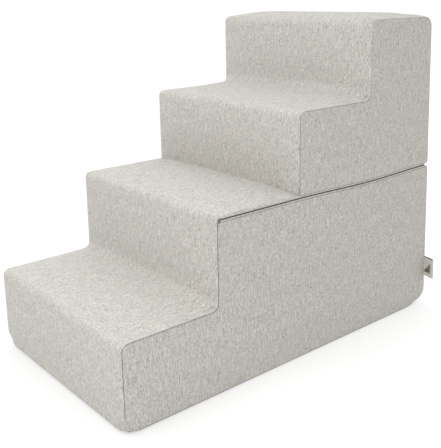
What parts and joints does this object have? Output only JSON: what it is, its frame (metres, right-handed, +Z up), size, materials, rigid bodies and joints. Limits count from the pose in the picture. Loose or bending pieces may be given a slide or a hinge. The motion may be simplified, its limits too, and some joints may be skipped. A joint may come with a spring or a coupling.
{
  "type": "foam pet stair",
  "caption": "Free-standing stepped foam pet stair in a sewn linen-look cover, zipped round the middle so that the upper block lifts forward off the lower one.",
  "frame": {"origin": "middle of the base, on the floor: centred between the two sides, and between the front of step 1 and the back", "axes": "+Z up, +Y the way a pet climbs, +X to the right of a climbing pet, the side with the label"},
  "size_m": [0.4086, 0.686, 0.5588],
  "materials": {
    "linen_cloth": "matte woven linen look",
    "foam": "open-cell polyurethane foam",
    "grip_cloth": "matte cloth with rubber dots",
    "liner": "non-woven lining",
    "zip_tape": "woven polyester tape",
    "zip_coil": "nylon coil",
    "thread": "sewing thread",
    "slider_metal": "satin die-cast zinc",
    "label_ribbon": "woven ribbon"
  },
  "bodies": {
    "tub": {"lower_foam": "foam", "nonslip_base": "grip_cloth", "lower_step_strip": "linen_cloth", "lower_left_side": "linen_cloth", "lower_right_side": "linen_cloth", "lower_back_panel": "linen_cloth", "lower_zip_flap": "linen_cloth", "lower_zip_tape": "zip_tape", "lower_zip_coil": "zip_coil", "zip_end_tack_left": "thread", "zip_end_tack_right": "thread", "side_label": "label_ribbon"},
    "cap": {"upper_foam": "foam", "upper_inner_base": "liner", "tread_2_panel": "linen_cloth", "upper_step_strip": "linen_cloth", "upper_left_side": "linen_cloth", "upper_right_side": "linen_cloth", "upper_back_panel": "linen_cloth", "upper_zip_flap": "linen_cloth", "upper_zip_tape": "zip_tape", "upper_zip_coil": "zip_coil"},
    "slider": {"zip_slider": "slider_metal"},
    "pull": {"zip_pull": "slider_metal"}
  },
  "joints": [
    {"name": "cap_fold", "type": "hinge", "parent": "tub", "child": "cap", "pos_m": [0, -0.1723, 0.2799], "axis": [1, 0, 0], "range_deg": [0, 180]},
    {"name": "slider_travel", "type": "slide", "parent": "tub", "child": "slider", "axis": [0, 1, 0], "range_m": [0, 0.4725]},
    {"name": "pull_flip", "type": "hinge", "parent": "slider", "child": "pull", "pos_m": [-0.1944, -0.1415, 0.2794], "axis": [0, 0, -1], "range_deg": [0, 180]}
  ]
}
